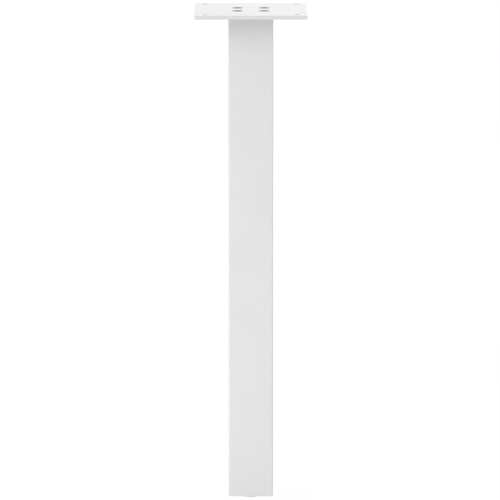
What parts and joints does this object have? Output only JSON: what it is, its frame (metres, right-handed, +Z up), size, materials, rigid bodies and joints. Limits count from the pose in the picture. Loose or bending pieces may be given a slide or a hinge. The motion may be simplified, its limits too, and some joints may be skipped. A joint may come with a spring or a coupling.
{
  "type": "square metal table leg",
  "caption": "Square steel table leg with a screwed-on square mounting plate and a round levelling foot that screws out of its lower end.",
  "frame": {"origin": "centre of the mounting plate's top face, which lies against the underside of the table top", "axes": "+Z up through the table top, the leg hanging along -Z; +X and +Y along the plate's sides"},
  "size_m": [0.1, 0.1, 0.4402],
  "materials": {
    "white_coat": "satin",
    "dark_steel": "satin",
    "bare_steel": "satin",
    "zinc_steel": "satin",
    "foot_plastic": "satin"
  },
  "bodies": {
    "leg": {"mounting_plate": "white_coat", "plate_screw_1": "dark_steel", "plate_screw_2": "dark_steel", "plate_screw_3": "dark_steel", "plate_screw_4": "dark_steel", "leg_tube": "white_coat", "top_nut_plate": "bare_steel", "foot_nut_plate": "white_coat", "weld_nut": "bare_steel"},
    "foot": {"foot_base": "foot_plastic"},
    "stud": {"foot_stud": "zinc_steel"}
  },
  "joints": [
    {"name": "foot_travel", "type": "slide", "parent": "leg", "child": "foot", "axis": [0, 0, -1], "range_m": [0, 0.01]},
    {"name": "stud_turn", "type": "hinge", "parent": "foot", "child": "stud", "pos_m": [0, 0, -0.43], "axis": [0, 0, -1], "range_deg": [0, 2880]}
  ],
  "couplings": [
    {"joint": "stud_turn", "follows": "foot_travel", "rad_per_m": 5026.5}
  ]
}
